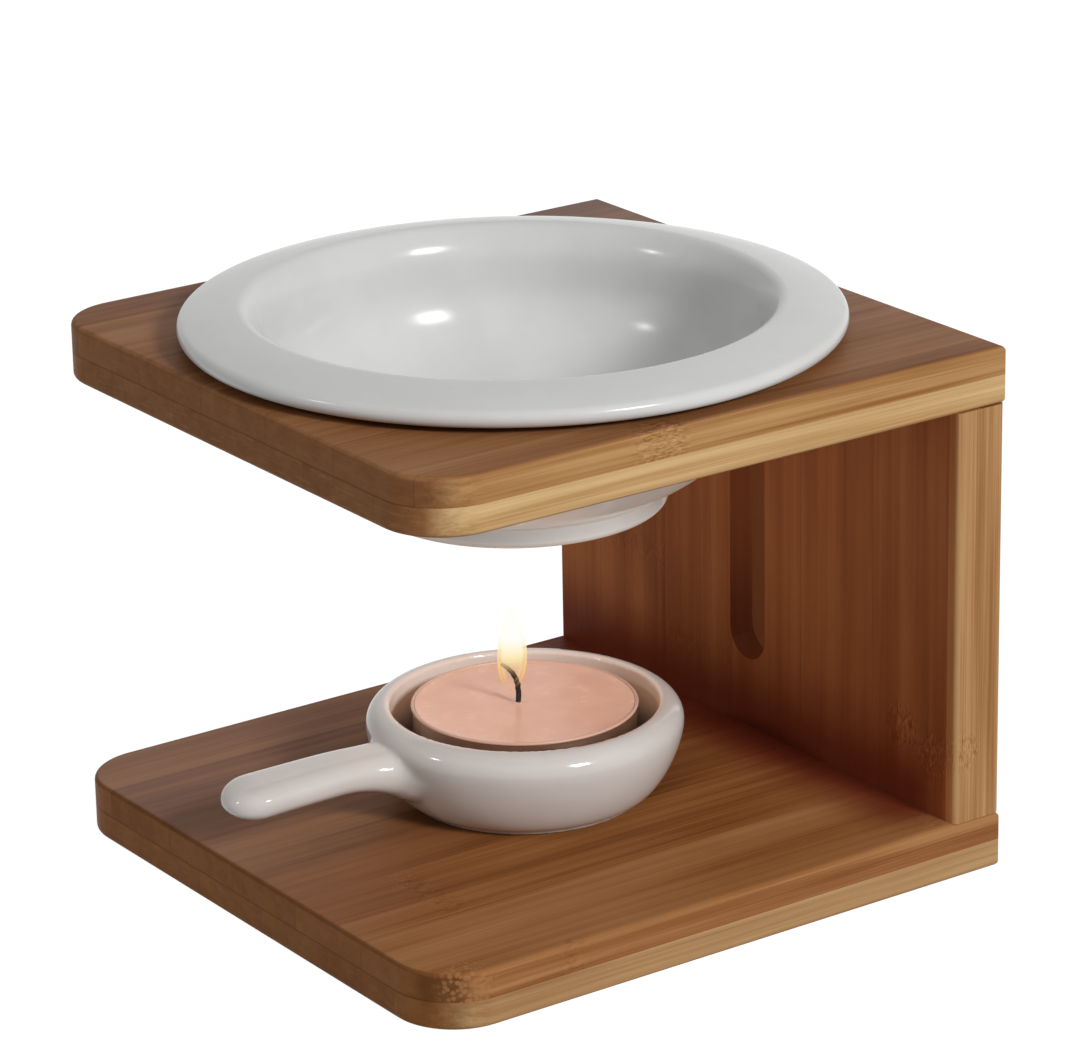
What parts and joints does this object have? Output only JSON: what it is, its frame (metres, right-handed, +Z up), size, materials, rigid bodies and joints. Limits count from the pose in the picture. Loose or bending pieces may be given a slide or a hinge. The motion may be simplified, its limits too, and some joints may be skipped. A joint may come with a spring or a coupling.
{
  "type": "tealight wax warmer",
  "caption": "Bamboo C-shaped stand with a drop-in white ceramic dish over a handled ceramic pan that holds a tealight, for warming wax or oil.",
  "frame": {"origin": "middle of the base board's underside, where the stand rests on the table", "axes": "+Z up, -Y towards the open front and the pan's handle, +Y towards the back panel, +X to the right seen from the front"},
  "size_m": [0.11, 0.111, 0.0951],
  "materials": {
    "bamboo_brown": "satin oiled carbonised bamboo, brown",
    "bamboo_honey": "satin oiled bamboo, honey",
    "bamboo_panel": "satin oiled carbonised bamboo, red brown",
    "bamboo_amber": "satin oiled bamboo, amber",
    "dowel_wood": "bare beech",
    "dish_glaze": "gloss white glaze",
    "pan_glaze": "gloss white glaze",
    "cup_metal": "thin bright pressed foil",
    "peach_wax": "peach candle wax",
    "wick_cotton": "braided cotton, charred at the tip",
    "flame_glow": "glowing candle flame"
  },
  "bodies": {
    "stand": {"base_lower_ply": "bamboo_honey", "base_upper_ply": "bamboo_brown", "panel_front_ply": "bamboo_panel", "panel_back_ply": "bamboo_amber", "top_lower_ply": "bamboo_honey", "top_upper_ply": "bamboo_brown", "base_dowels": "dowel_wood", "top_dowels": "dowel_wood"},
    "dish": {"warming_dish": "dish_glaze"},
    "pan": {"candle_pan": "pan_glaze"},
    "tealight": {"tealight_cup": "cup_metal", "tealight_wax": "peach_wax", "wick": "wick_cotton", "wick_tab": "cup_metal"}
  },
  "joints": [
    {"name": "dish_lift", "type": "slide", "parent": "stand", "child": "dish", "axis": [0, 0, 1], "range_m": [0, 0.04]},
    {"name": "pan_slide", "type": "slide", "parent": "stand", "child": "pan", "axis": [0, -1, 0], "range_m": [-0.019, 0.09]},
    {"name": "tealight_lift", "type": "slide", "parent": "pan", "child": "tealight", "axis": [0, 0, 1], "range_m": [0, 0.016]}
  ]
}
